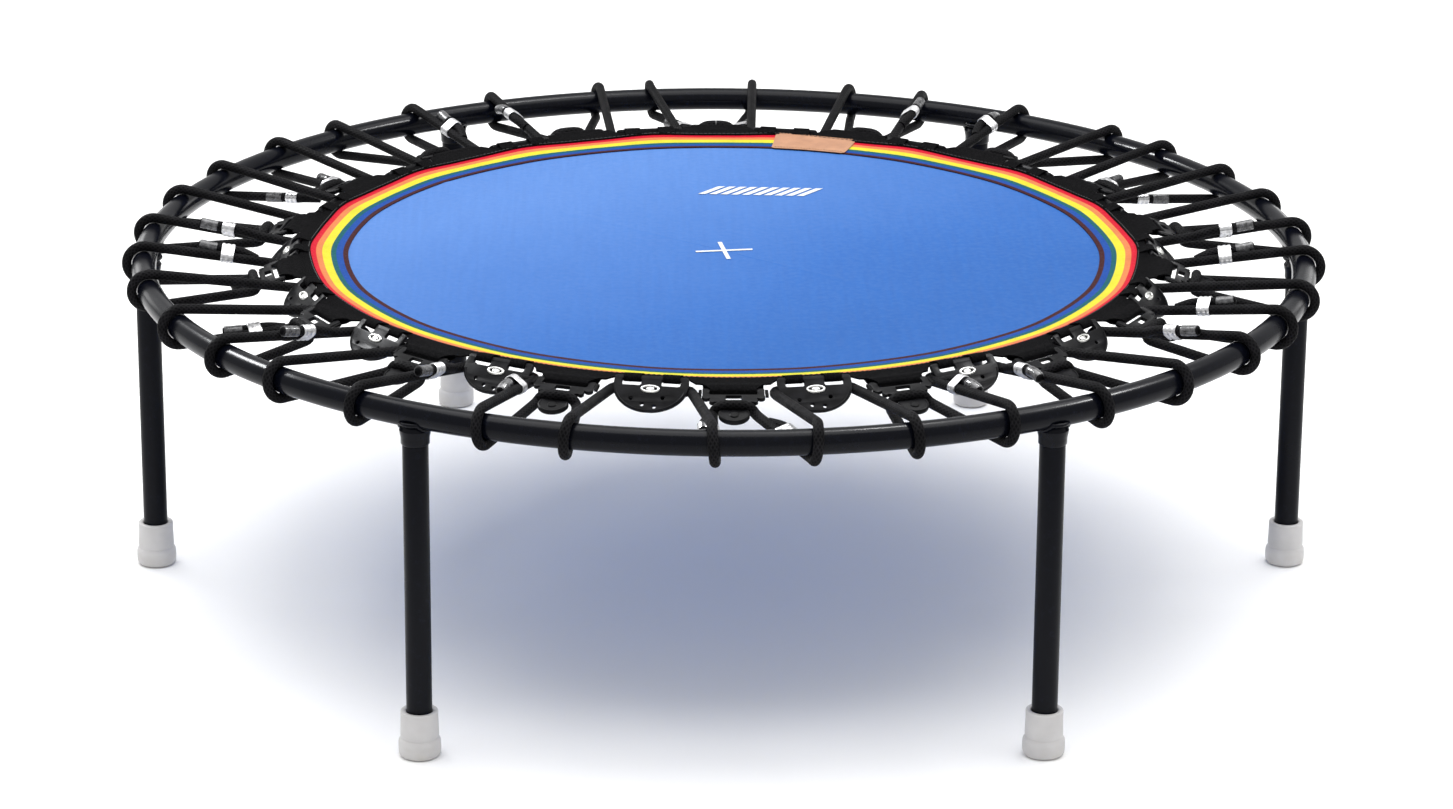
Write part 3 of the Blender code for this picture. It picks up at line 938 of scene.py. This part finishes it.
def tag(leather, thread):
    """The leather tag over the ribbon, bent to its curve, with rounded corners and a stitched edge."""
    low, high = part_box("leather_tag")
    centre = (low + high) / 2
    middle_angle = math.atan2(centre.y, centre.x)
    inner, outer = FLAT_R - 0.0020, MAT_R + 0.0025
    width, thickness, corner = 0.088, 0.0013, 0.0035
    columns, lines = 40, 14
    half_angle = width / (inner + outer)
    rows = []
    for sign in (1, -1):
        for j in range(lines + 1):
            share = j / lines
            radius = inner + (outer - inner) * share
            from_edge = min(share, 1 - share) * (outer - inner)
            inset = corner - math.sqrt(max(0.0, corner**2 - max(0.0, corner - from_edge) ** 2))
            row = []
            for i in range(columns + 1):
                spread = half_angle * (1 - inset / (width / 2))
                angle = middle_angle + spread * (2 * i / columns - 1)
                edge = min(i, columns - i, j * 2.0, (lines - j) * 2.0)
                pinch = 0.0004 * max(0.0, 1 - edge / 2.0)
                height = cloth_height(radius, angle) + 0.0026 + sign * (thickness / 2 - pinch)
                row.append(Vector(polar(radius, angle, height)))
            rows.append(row)
    top, under = rows[: lines + 1], rows[lines + 1 :]
    count = columns + 1
    flat = [p for row in top + under for p in row]
    offset = (lines + 1) * count
    faces = []
    for j in range(lines):
        for i in range(columns):
            a = j * count + i
            faces.append((a, a + 1, a + count + 1, a + count))
            faces.append((offset + a, offset + a + count, offset + a + count + 1, offset + a + 1))
    rim = list(range(count))
    rim += [j * count + columns for j in range(1, lines + 1)]
    rim += [lines * count + i for i in range(columns - 1, -1, -1)]
    rim += [j * count for j in range(lines - 1, 0, -1)]
    for a, b in zip(rim, rim[1:] + rim[:1]):
        faces.append((a, b, offset + b, offset + a))
    cover = outward(mesh_from(flat, faces, flat_uvs(flat, faces)))
    obj = new_object("leather_tag_cover", cover, leather, 50)
    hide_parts("leather_tag")
    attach(obj, "mat")
    pieces = [obj]
    inset_angle = half_angle * 0.93
    ends = (middle_angle - inset_angle, middle_angle + inset_angle)
    for name, radius in (("tag_stitches_inner", inner + corner), ("tag_stitches_outer", outer - corner)):
        pieces.append(stitch_row(name, lambda angle, r=radius: r, 24, 0.0033, thread, *ends))
    return pieces


def print_marks(finish):
    """A plain cross at the mat's centre, and a short row of equal slanted dashes in place of lettering."""
    arm, thick = 0.030, 0.0045
    cross = []
    for k in range(4):
        for x, y in ((thick / 2, thick / 2), (arm, thick / 2), (arm, -thick / 2)):
            turn = math.radians(90 * k)
            cross.append((x * math.cos(turn) + y * math.sin(turn), -x * math.sin(turn) + y * math.cos(turn)))
    cross_mesh = plate_mesh([cross], 0.0004, 0.0001)
    dash, pitch, depth, slant = 0.0075, 0.0118, 0.030, 0.010
    row = []
    for k in range(10):
        x = pitch * (k - 4.5)
        outline = [(x - slant, -depth / 2), (x - slant + dash, -depth / 2), (x + slant + dash, depth / 2)]
        row.append((plate_mesh([outline + [(x + slant, depth / 2)]], 0.0004, 0.0001), Matrix.Identity(4)))
    lift = RING_Z + 0.0012
    places = (("centre_cross", cross_mesh, (0, 0), 8.0), ("print_dashes", joined(row), (0.040, 0.218), -4.0))
    pieces = []
    for name, mesh, (x, y), turn in places:
        seat = Matrix.Translation((x, y, lift)) @ Matrix.Rotation(math.radians(turn), 4, "Z")
        obj = new_object(name, joined([(mesh, seat)]), finish)
        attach(obj, "mat")
        pieces.append(obj)
    return pieces


# ---------------------------------------------------------------- plates


def mirrored(right):
    """A closed outline from its right half, given from the bottom to the top."""
    return right + [(-x, y) for x, y in reversed(right)]


def half_round_outline():
    right = [(0.0290, 0.0)]
    right += arc((0.0325, 0.0035), (0.0035, 0.0035), -90, 0, 4)
    right += arc((0.0, 0.0100), (0.0365, 0.0300), 4, 84, 18)
    return mirrored(right)


def ring_boss(width, depth, height, wall):
    """An oval raised rim with rounded top."""
    path = [(width / 2 * math.cos(t), depth / 2 * math.sin(t), 0) for t in np.linspace(0, math.tau, 40)[:-1]]
    mesh = tube_mesh(path, wall, 10, closed=True)
    return joined([(mesh, Matrix.Translation((0, 0, height)))])


def half_round_plate():
    """Outline, two slots, four round holes, a rim round the edge and a hooked rib below."""
    slots = [rounded_rectangle((side * A_LOOP_X, BAR + 0.0034), 0.0185, 0.0066, 0.0020) for side in (-1, 1)]
    hole_places = ((-0.0130, 0.0245), (-0.0060, 0.0345), (0.0060, 0.0325), (0.0175, 0.0265))
    holes = [arc(centre, (0.0019, 0.0019), 0, 345, 23) for centre in hole_places]
    plate = plate_mesh([half_round_outline(), *slots, *holes], PLATE_T)
    parts = [(plate, Matrix.Identity(4))]
    edge = arc((0, 0.0100), (0.0365, 0.0300), 12, 168, 48)
    rim = [(x * 0.93, 0.0020 + y * 0.93, PLATE_T / 2 - 0.0002) for x, y in edge]
    parts.append((tube_mesh(rim, 0.0009, 8), Matrix.Identity(4)))
    hook = [(x, y, -PLATE_T / 2 - 0.0042) for x, y in arc((0, -0.0080), (0.0400, 0.0330), 32, 148, 30)]
    parts.append((tube_mesh(hook, 0.0048, 12, squash=0.36), Matrix.Identity(4)))
    return joined(parts)


def eye_mesh():
    """A half-round plate's oval steel eyelet."""
    profile = [(0, 0.0009), (0.0021, 0.0009), (0.0027, 0.0004), (0.0028, -0.0012), (0, -0.0012)]
    button = lathe_mesh(profile, 24)
    seat = Matrix.Translation((0, 0.0152, 0))
    raised = Matrix.Translation((0, 0, PLATE_T / 2)) @ Matrix.Diagonal((1.5, 0.9, 1, 1))
    return joined([(ring_boss(0.0165, 0.0066, PLATE_T / 2 + 0.0002, 0.0013), seat), (button, seat @ raised)])


def anchor_outline():
    right = [(0.0260, 0.0)]
    right += arc((0.0275, 0.0020), (0.0020, 0.0020), -90, 0, 3)
    right += [(0.0295, 0.0100)]
    right += arc((0.0262, 0.0135), (0.0040, 0.0040), -20, 120, 7)
    right += [(0.0222, 0.0160), (0.0228, 0.0180)]
    right += arc((0.0205, 0.0205), (0.0028, 0.0028), -20, 140, 6)
    right += [(0.0160, 0.0226), (0.0145, 0.0245)]
    return mirrored(right)


def anchor_plate():
    """Toothed body with a wide slot and a window, teeth on its shoulders, a saddle for the rope and a round
    head with a raised rim."""
    slot = rounded_rectangle((0, BAR + 0.0030), 0.0455, 0.0056, 0.0020)
    window = rounded_rectangle((0, 0.0156), 0.0150, 0.0066, 0.0012)
    flat = Matrix.Identity(4)
    parts = [(plate_mesh([anchor_outline(), slot, window], PLATE_T), flat)]
    head = arc((0, 0.0420), (0.0150, 0.0140), -26, 206, 30)
    parts.append((plate_mesh([head], PLATE_T), flat))
    saddle = plate_mesh([rounded_rectangle((0, 0.0303), 0.0150, 0.0190, 0.0030)], 0.0048)
    parts.append((saddle, Matrix.Translation((0, 0, -0.0040))))
    tooth = plate_mesh([[(-0.0007, 0), (0.0007, 0), (0.0004, 0.0030), (-0.0004, 0.0030)]], 0.0030, 0.0002)
    for side in (-1, 1):
        for k in range(6):
            place = Matrix.Translation((side * (0.0300 + 0.0001 * k), 0.0022 + 0.0017 * k, 0))
            parts.append((tooth, place @ Matrix.Rotation(-side * math.pi / 2, 4, "Z")))
    rim = [(x, y, PLATE_T / 2 - 0.0001) for x, y in arc((0, 0.0420), (0.0136, 0.0126), -14, 194, 40)]
    parts.append((tube_mesh(rim, 0.0009, 8), flat))
    profile = [(0, 0.0010), (0.0036, 0.0010), (0.0044, 0.0004), (0.0045, -0.0012), (0, -0.0012)]
    parts.append((lathe_mesh(profile, 28), Matrix.Translation((0, 0.0445, PLATE_T / 2))))
    return joined(parts)


def plates(plastic, steel):
    a_mesh, b_mesh = half_round_plate(), anchor_plate()
    for number in range(PAIRS):
        for kind, mesh, matrix in (
            ("half_round_plate", a_mesh, a_matrix(number)),
            ("anchor_plate", b_mesh, b_matrix(number)),
        ):
            obj = new_object(f"{kind}_{number + 1:02d}_body", joined([(mesh, matrix)]), plastic, 35)
            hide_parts(f"{kind}_{number + 1:02d}")
            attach(obj, "mat")
    eye = eye_mesh()
    eyes = new_object("plate_eyelets", joined([(eye, a_matrix(number)) for number in range(PAIRS)]), steel)
    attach(eyes, "mat")


# ---------------------------------------------------------------- rope


def a_side_points(number, side):
    """The rope from under a half-round plate's middle to where it leaves beside it."""
    seat = a_matrix(number)
    deep = -PLATE_T / 2 - ROPE_R - 0.0012
    points = [(0.0001, 0.0165, deep), (0.010, 0.0163, deep), (0.022, 0.0140, deep), (0.0300, 0.0105, deep)]
    points += [(0.0355, 0.0085, deep + 0.0005), (0.0395, 0.0125, deep + 0.0025)]
    return [seat @ Vector((side * x, y, z)) for x, y, z in points]


def b_side_points(number, side):
    """The rope from over an anchor plate's saddle to where it leaves beside it."""
    seat = b_matrix(number)
    points = [(0.0001, 0.0306, 0.0036), (0.0080, 0.0306, 0.0035), (0.0135, 0.0306, 0.0022)]
    points += [(0.0175, 0.0308, -0.0010), (0.0205, 0.0330, -0.0055)]
    return [seat @ Vector((side * x, y, z)) for x, y, z in points]


def wrap_arc(number, start, end):
    """The rope round the tube, from the strand that comes over it to the one that leaves under it."""
    angle = wrap_angle(number)
    outwards = Vector((math.cos(angle), math.sin(angle), 0))
    along = Vector((-math.sin(angle), math.cos(angle), 0))
    ends = []
    for point, sign in ((start, 1), (end, -1)):
        local = point - Vector((0, 0, RING_Z))
        x, z = local.dot(outwards) - RING_R, local.z
        distance = math.hypot(x, z)
        towards = math.atan2(z, x) % math.tau
        ends.append((towards - sign * math.acos(ROPE_ROUND_R / distance), local.dot(along), distance))
    first, last = ends[0][0], ends[1][0] - math.tau
    turned = ROPE_ROUND_R * (first - last)
    slope = (ends[1][1] - ends[0][1]) / (ends[0][2] + ends[1][2] + turned)
    points = []
    steps = 26
    for k in range(steps + 1):
        share = k / steps
        turn = first + (last - first) * share
        shift = slope * turned * (share - 0.5)
        points.append(
            outwards * (RING_R + ROPE_ROUND_R * math.cos(turn)) + along * shift
            + Vector((0, 0, RING_Z + ROPE_ROUND_R * math.sin(turn)))
        )
    return points


def wrap_path(number):
    """One wrap's whole rope, from a half-round plate's middle to an anchor plate's middle."""
    forward = number % 2 == 0
    a_number = number // 2 if forward else (number // 2 + 1) % PAIRS
    a_points = a_side_points(a_number, -1 if forward else 1)
    b_points = b_side_points(number // 2, 1 if forward else -1)
    around = wrap_arc(number, a_points[-1], b_points[-1])
    over = [a_points[-1].lerp(around[0], k / 6) for k in range(1, 6)]
    below = [around[-1].lerp(b_points[-1], k / 6) for k in range(1, 6)]
    path = a_points + over + around + below + b_points[::-1]
    return even_path(smooth_path(path, 3), 0.0024)


def follow(obj, angle):
    """Bakes a piece's place into its mesh. It works out points at this angle on the ring and on the mat, but
    does not use them.
    """
    start, end = ring_point(angle, 0.582), ring_point(angle, 0.500)
    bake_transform(obj)


def ropes(cover):
    paths = {}
    for number in range(WRAPS):
        path = wrap_path(number)
        paths[number] = path
        obj = new_object(f"rope_wrap_{number + 1:02d}", outward(tube_mesh(path, ROPE_R, 16)), cover, 60)
        if number % (WRAPS // 6) == 0:
            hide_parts(f"elastic_rope_{number // (WRAPS // 6) + 1}")
        follow(obj, wrap_angle(number))
    return paths


FERRULES = (
    ("over", 0, 0.528, 0), ("over", 35, 0.518, 0),
    ("under", 2, 0.510, 0), ("under", 3, 0.512, 0),
    ("over", 6, 0.536, 0), ("over", 5, 0.540, 1),
    ("under", 8, 0.512, 0), ("under", 9, 0.514, 0),
    ("over", 12, 0.528, 0), ("over", 11, 0.532, 1),
    ("under", 14, 0.510, 0), ("under", 15, 0.516, 0),
    ("over", 18, 0.514, 0), ("over", 17, 0.518, 0),
    ("under", 20, 0.524, 0), ("over", 21, 0.512, 0),
    ("over", 23, 0.500, 0), ("over", 24, 0.492, 1),
    ("under", 26, 0.530, 0), ("under", 27, 0.538, 0),
    ("over", 29, 0.500, 1), ("over", 30, 0.498, 1),
    ("over", 32, 0.530, 0), ("over", 33, 0.522, 0),
)
"""Where each length of rope ends: the strand, its wrap, the ferrule's distance from the middle, and 1 where
the cut end bends down."""


def sleeve_mesh(length, gap):
    """A pressed oval sleeve round two ropes this far apart, open at its ends, with two crimped grooves."""
    wall, sides = 0.0011, 36
    profile = []
    for k in range(13):
        share = k / 12
        pinch = 0.0007 * (math.exp(-((share - 0.30) / 0.07) ** 2) + math.exp(-((share - 0.70) / 0.07) ** 2))
        rounding = 0.0004 * (k in (0, 12))
        profile.append((length * (share - 0.5), wall - pinch - rounding))
    profile += [(length / 2, 0.0001), (-length / 2, 0.0001)]
    rows = []
    for along, grow in profile:
        row = []
        for i in range(sides):
            turn = math.tau * i / sides
            size = ROPE_R + grow
            shift = gap / 2 * (1 if math.cos(turn) > 0 else -1) * min(1.0, abs(math.cos(turn)) * 6)
            row.append((along, shift + size * math.cos(turn), size * math.sin(turn)))
        rows.append(row)
    return outward(grid_mesh(rows, closed_v=True, size=(0.04, length)))


def strand_point(path, strand, radius):
    """The place and direction where a strand passes this distance from the middle, looking to the ring."""
    order = range(1, len(path) - 1) if strand == "over" else range(len(path) - 2, 0, -1)
    for i in order:
        if math.hypot(path[i].x, path[i].y) >= radius:
            step = path[i + 1] - path[i - 1]
            return path[i], (step if strand == "over" else -step).normalized()


def ferrules(paths, metal, cover, core):
    gap = 1.9 * ROPE_R
    sleeve = sleeve_mesh(0.0130, gap)
    for index, (strand, number, radius, bent) in enumerate(FERRULES):
        point, along = strand_point(paths[number], strand, radius)
        toward = -1 if number % 2 else 1
        up = (Vector((0, 0, 1)) - along * along.z).normalized()
        side = along.cross(up) * toward
        lean = (side * 0.8 + up * (0.6 if strand == "over" else 0.2)).normalized()
        normal = along.cross(lean)
        centre = point + lean * gap / 2
        seat = Matrix((along, lean, normal)).transposed().to_4x4()
        seat.translation = centre
        clip = new_object(f"ferrule_{index + 1:02d}", joined([(sleeve, seat)]), metal)
        follow(clip, wrap_angle(number))
        beside = point + lean * gap
        away = lean * 0.35 - Vector((0, 0, 1)) * (1.2 if bent else 0.0)
        tail = [beside - along * 0.030 - lean * gap * 0.75, beside - along * 0.016 - lean * gap * 0.10]
        tail += [beside - along * 0.006, beside + along * 0.008]
        tail += [beside + along * 0.020 + away * 0.0012, beside + along * 0.031 + away * 0.0060]
        tail = even_path(smooth_path(tail, 3), 0.0015)
        end = tube_mesh(tail, lambda share: ROPE_R * (0.96 - 0.30 * share**60), 14)
        follow(new_object(f"rope_end_{index + 1:02d}", outward(end), cover, 60), wrap_angle(number))
        cap = tube_mesh(tail[-14:-1], lambda share: ROPE_R * (1.08 - 0.05 * (2 * share - 1) ** 8), 18)
        follow(new_object(f"end_cap_{index + 1:02d}", outward(cap), core, 60), wrap_angle(number))


# ---------------------------------------------------------------- stage


def add_area_light(name, location, target, size, power, colour=(1, 1, 1)):
    data = bpy.data.lights.new(name, "AREA")
    data.shape = "RECTANGLE"
    data.size, data.size_y = size
    data.energy = power
    data.color = colour
    light = bpy.data.objects.new(name, data)
    light.location = location
    light.rotation_euler = (Vector(target) - Vector(location)).to_track_quat("-Z", "Y").to_euler()
    bpy.context.scene.collection.objects.link(light)
    return light


def studio():
    half = 14.0
    corners = [(-half, -half, 0), (half, -half, 0), (half, half, 0), (-half, half, 0)]
    floor = new_object("studio_floor", mesh_from(corners, [(0, 1, 2, 3)]), floor_paint())
    floor.location.z = -0.0005
    world = bpy.data.worlds.new("studio_world")
    world.use_nodes = True
    world.node_tree.nodes["Background"].inputs["Color"].default_value = (1.0, 1.0, 1.0, 1.0)
    world.node_tree.nodes["Background"].inputs["Strength"].default_value = 0.80
    bpy.context.scene.world = world
    bpy.context.scene.view_settings.view_transform = "Standard"
    centre = (0, 0, RING_Z)
    add_area_light("overhead", (0, 0.5, 4.2), centre, (5.0, 4.0), 245)
    glints = [
        add_area_light("left_strip", (-2.35, 1.64, 2.60), centre, (1.10, 0.18), 130, (0.97, 0.985, 1.0)),
        add_area_light("right_strip", (2.17, 0.58, 3.03), centre, (0.40, 0.20), 62),
        add_area_light("back_spot", (0.77, 0.98, 3.62), centre, (0.26, 0.26), 24),
    ]
    for light in glints:
        light.visible_diffuse = False
    add_area_light("low_left", (-2.6, 3.9, 0.95), centre, (2.4, 1.0), 15)
    add_area_light("low_right", (2.6, 3.9, 0.95), centre, (2.4, 1.0), 15)


def camera():
    """Stands five metres off the ring's centre, 17 degrees above it, and looks a little below it."""
    distance, elevation, heading = 5.0194, math.radians(17.153), math.radians(-1.2)
    pan, tilt, roll = math.radians(-0.0405), math.radians(-1.8184), math.radians(0.391)
    back = Vector((0, -math.cos(elevation), math.sin(elevation)))
    data = bpy.data.cameras.new("camera")
    data.sensor_width = 36.0
    data.sensor_fit = "HORIZONTAL"
    data.lens = 119.384
    data.clip_end = 60.0
    made = bpy.data.objects.new("camera", data)
    place = Matrix.Translation(back * distance) @ (-back).to_track_quat("-Z", "Y").to_matrix().to_4x4()
    turned = Matrix.Rotation(pan, 4, "Y") @ Matrix.Rotation(tilt, 4, "X") @ Matrix.Rotation(roll, 4, "Z")
    made.matrix_world = Matrix.Translation((0, 0, RING_Z)) @ Matrix.Rotation(heading, 4, "Z") @ place @ turned
    bpy.context.scene.collection.objects.link(made)
    bpy.context.scene.camera = made


def build():
    camera()
    paint = gloss_paint("ring_enamel", 0.16, 0.30)
    leg_paint = gloss_paint("leg_enamel", 0.26, 0.42)
    ring_tube(paint)
    sockets(paint)
    steel = plated_steel()
    legs(leg_paint, steel, foot_rubber())
    black_thread = stitch_thread("black_thread", (0.012, 0.012, 0.013))
    cloth = mat(mat_cloth())
    extras = [ribbon(rainbow())]
    extras += border(webbing(), black_thread)
    extras += tag(tag_leather(), stitch_thread("tan_thread", (0.30, 0.15, 0.07)))
    extras += print_marks(white_print())
    plates(plate_plastic(), steel)
    cover = rope_cover()
    paths = ropes(cover)
    ferrules(paths, ferrule_metal(), cover, end_shrink())
    studio()


build()
